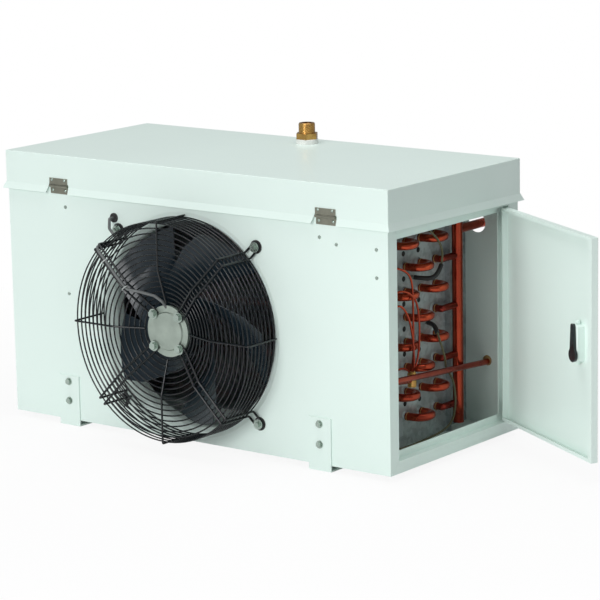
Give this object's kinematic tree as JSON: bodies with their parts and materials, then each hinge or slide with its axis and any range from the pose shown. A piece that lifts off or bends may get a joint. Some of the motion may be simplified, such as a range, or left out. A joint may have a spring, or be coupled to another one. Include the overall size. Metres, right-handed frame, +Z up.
{
  "type": "walk-in unit cooler",
  "caption": "Box-shaped ceiling unit cooler for a cold room, with a guarded fan, finned coil, hinged drain pan and hinged end door.",
  "frame": {"origin": "centre of the four hanger holes, on the plane the hanger feet stand on", "axes": "+X along the cabinet towards the door end, -Y the way the fan faces, +Z up as the unit stands on its hangers with the drain pan on top"},
  "size_m": [1.2982, 0.5491, 0.606],
  "materials": {
    "white_paint": "pale powder coat, gloss",
    "galvanised": "galvanised sheet",
    "fin_aluminium": "plain aluminium fins",
    "copper": "drawn copper tube, lightly tarnished",
    "brass": "turned brass",
    "black_wire": "black coated wire, satin",
    "black_fan": "black paint, gloss",
    "motor_grey": "cast alloy, satin",
    "steel": "zinc plated",
    "stator_steel": "laminated core",
    "rubber": "black rubber",
    "cable_grey": "grey sheath",
    "lead_olive": "olive lead sheath",
    "white_plastic": "moulded white plastic",
    "hinge_metal": "dull nickel plate",
    "latch_cast": "painted casting",
    "black_plastic": "black moulding",
    "terminal_plastic": "moulded block"
  },
  "bodies": {
    "cabinet": {"base_panel": "white_paint", "bearings": "steel", "cable_grommet": "rubber", "capillaries": "copper", "coil_tubes": "copper", "distributor": "brass", "door_hinge_pins": "hinge_metal", "end_frame": "white_paint", "end_panel_left": "white_paint", "fin_pack": "fin_aluminium", "frame_hinge_leaves": "hinge_metal", "front_panel": "white_paint", "guard_arms": "black_wire", "guard_bolts": "steel", "guard_feet": "rubber", "guard_front_rings": "black_wire", "guard_side_rings": "black_wire", "guard_spokes": "black_wire", "hanger_bolts": "steel", "hangers": "white_paint", "header_branches": "copper", "heater_boots": "rubber", "heater_leads": "lead_olive", "heater_rods": "steel", "inlet_cones": "copper", "liquid_line": "copper", "motor_bolts": "steel", "motor_cable": "cable_grey", "motor_flange": "motor_grey", "pan_hinge_lower_left": "hinge_metal", "pan_hinge_lower_right": "hinge_metal", "pan_hinge_pins": "hinge_metal", "panel_rivets": "steel", "rear_top_rail": "white_paint", "rear_wall_left": "white_paint", "rear_wall_right": "white_paint", "return_bends_left": "copper", "return_bends_right": "copper", "stator": "stator_steel", "suction_header": "copper", "terminal_block": "terminal_plastic", "tube_sheet_left": "galvanised", "tube_sheet_right": "galvanised"},
    "fan": {"rotor_bell": "black_fan", "shaft": "steel", "fan_blades": "black_fan"},
    "pan": {"drain_pan": "white_paint", "drain_fitting": "brass", "drain_washer": "white_plastic", "pan_hinge_upper_left": "hinge_metal", "pan_hinge_upper_right": "hinge_metal"},
    "door": {"door_panel": "white_paint", "door_hinge_leaves": "hinge_metal", "latch_housing": "latch_cast"},
    "latch": {"latch_spindle": "black_plastic", "latch_lever": "black_plastic"}
  },
  "joints": [
    {"name": "fan_spin", "type": "hinge", "parent": "cabinet", "child": "fan", "pos_m": [0, -0.23, 0.248], "axis": [0, 1, 0], "continuous": true},
    {"name": "pan_hinge", "type": "hinge", "parent": "cabinet", "child": "pan", "pos_m": [0.0075, -0.2245, 0.4995], "axis": [1, 0, 0], "range_deg": [0, 25]},
    {"name": "door_hinge", "type": "hinge", "parent": "cabinet", "child": "door", "pos_m": [0.4926, 0.1835, 0.255], "axis": [0, 0, 1], "range_deg": [-60, 115]},
    {"name": "latch_turn", "type": "hinge", "parent": "door", "child": "latch", "pos_m": [0.7628, 0.0245, 0.238], "axis": [0.5, 0.866, 0], "range_deg": [0, 90]}
  ]
}
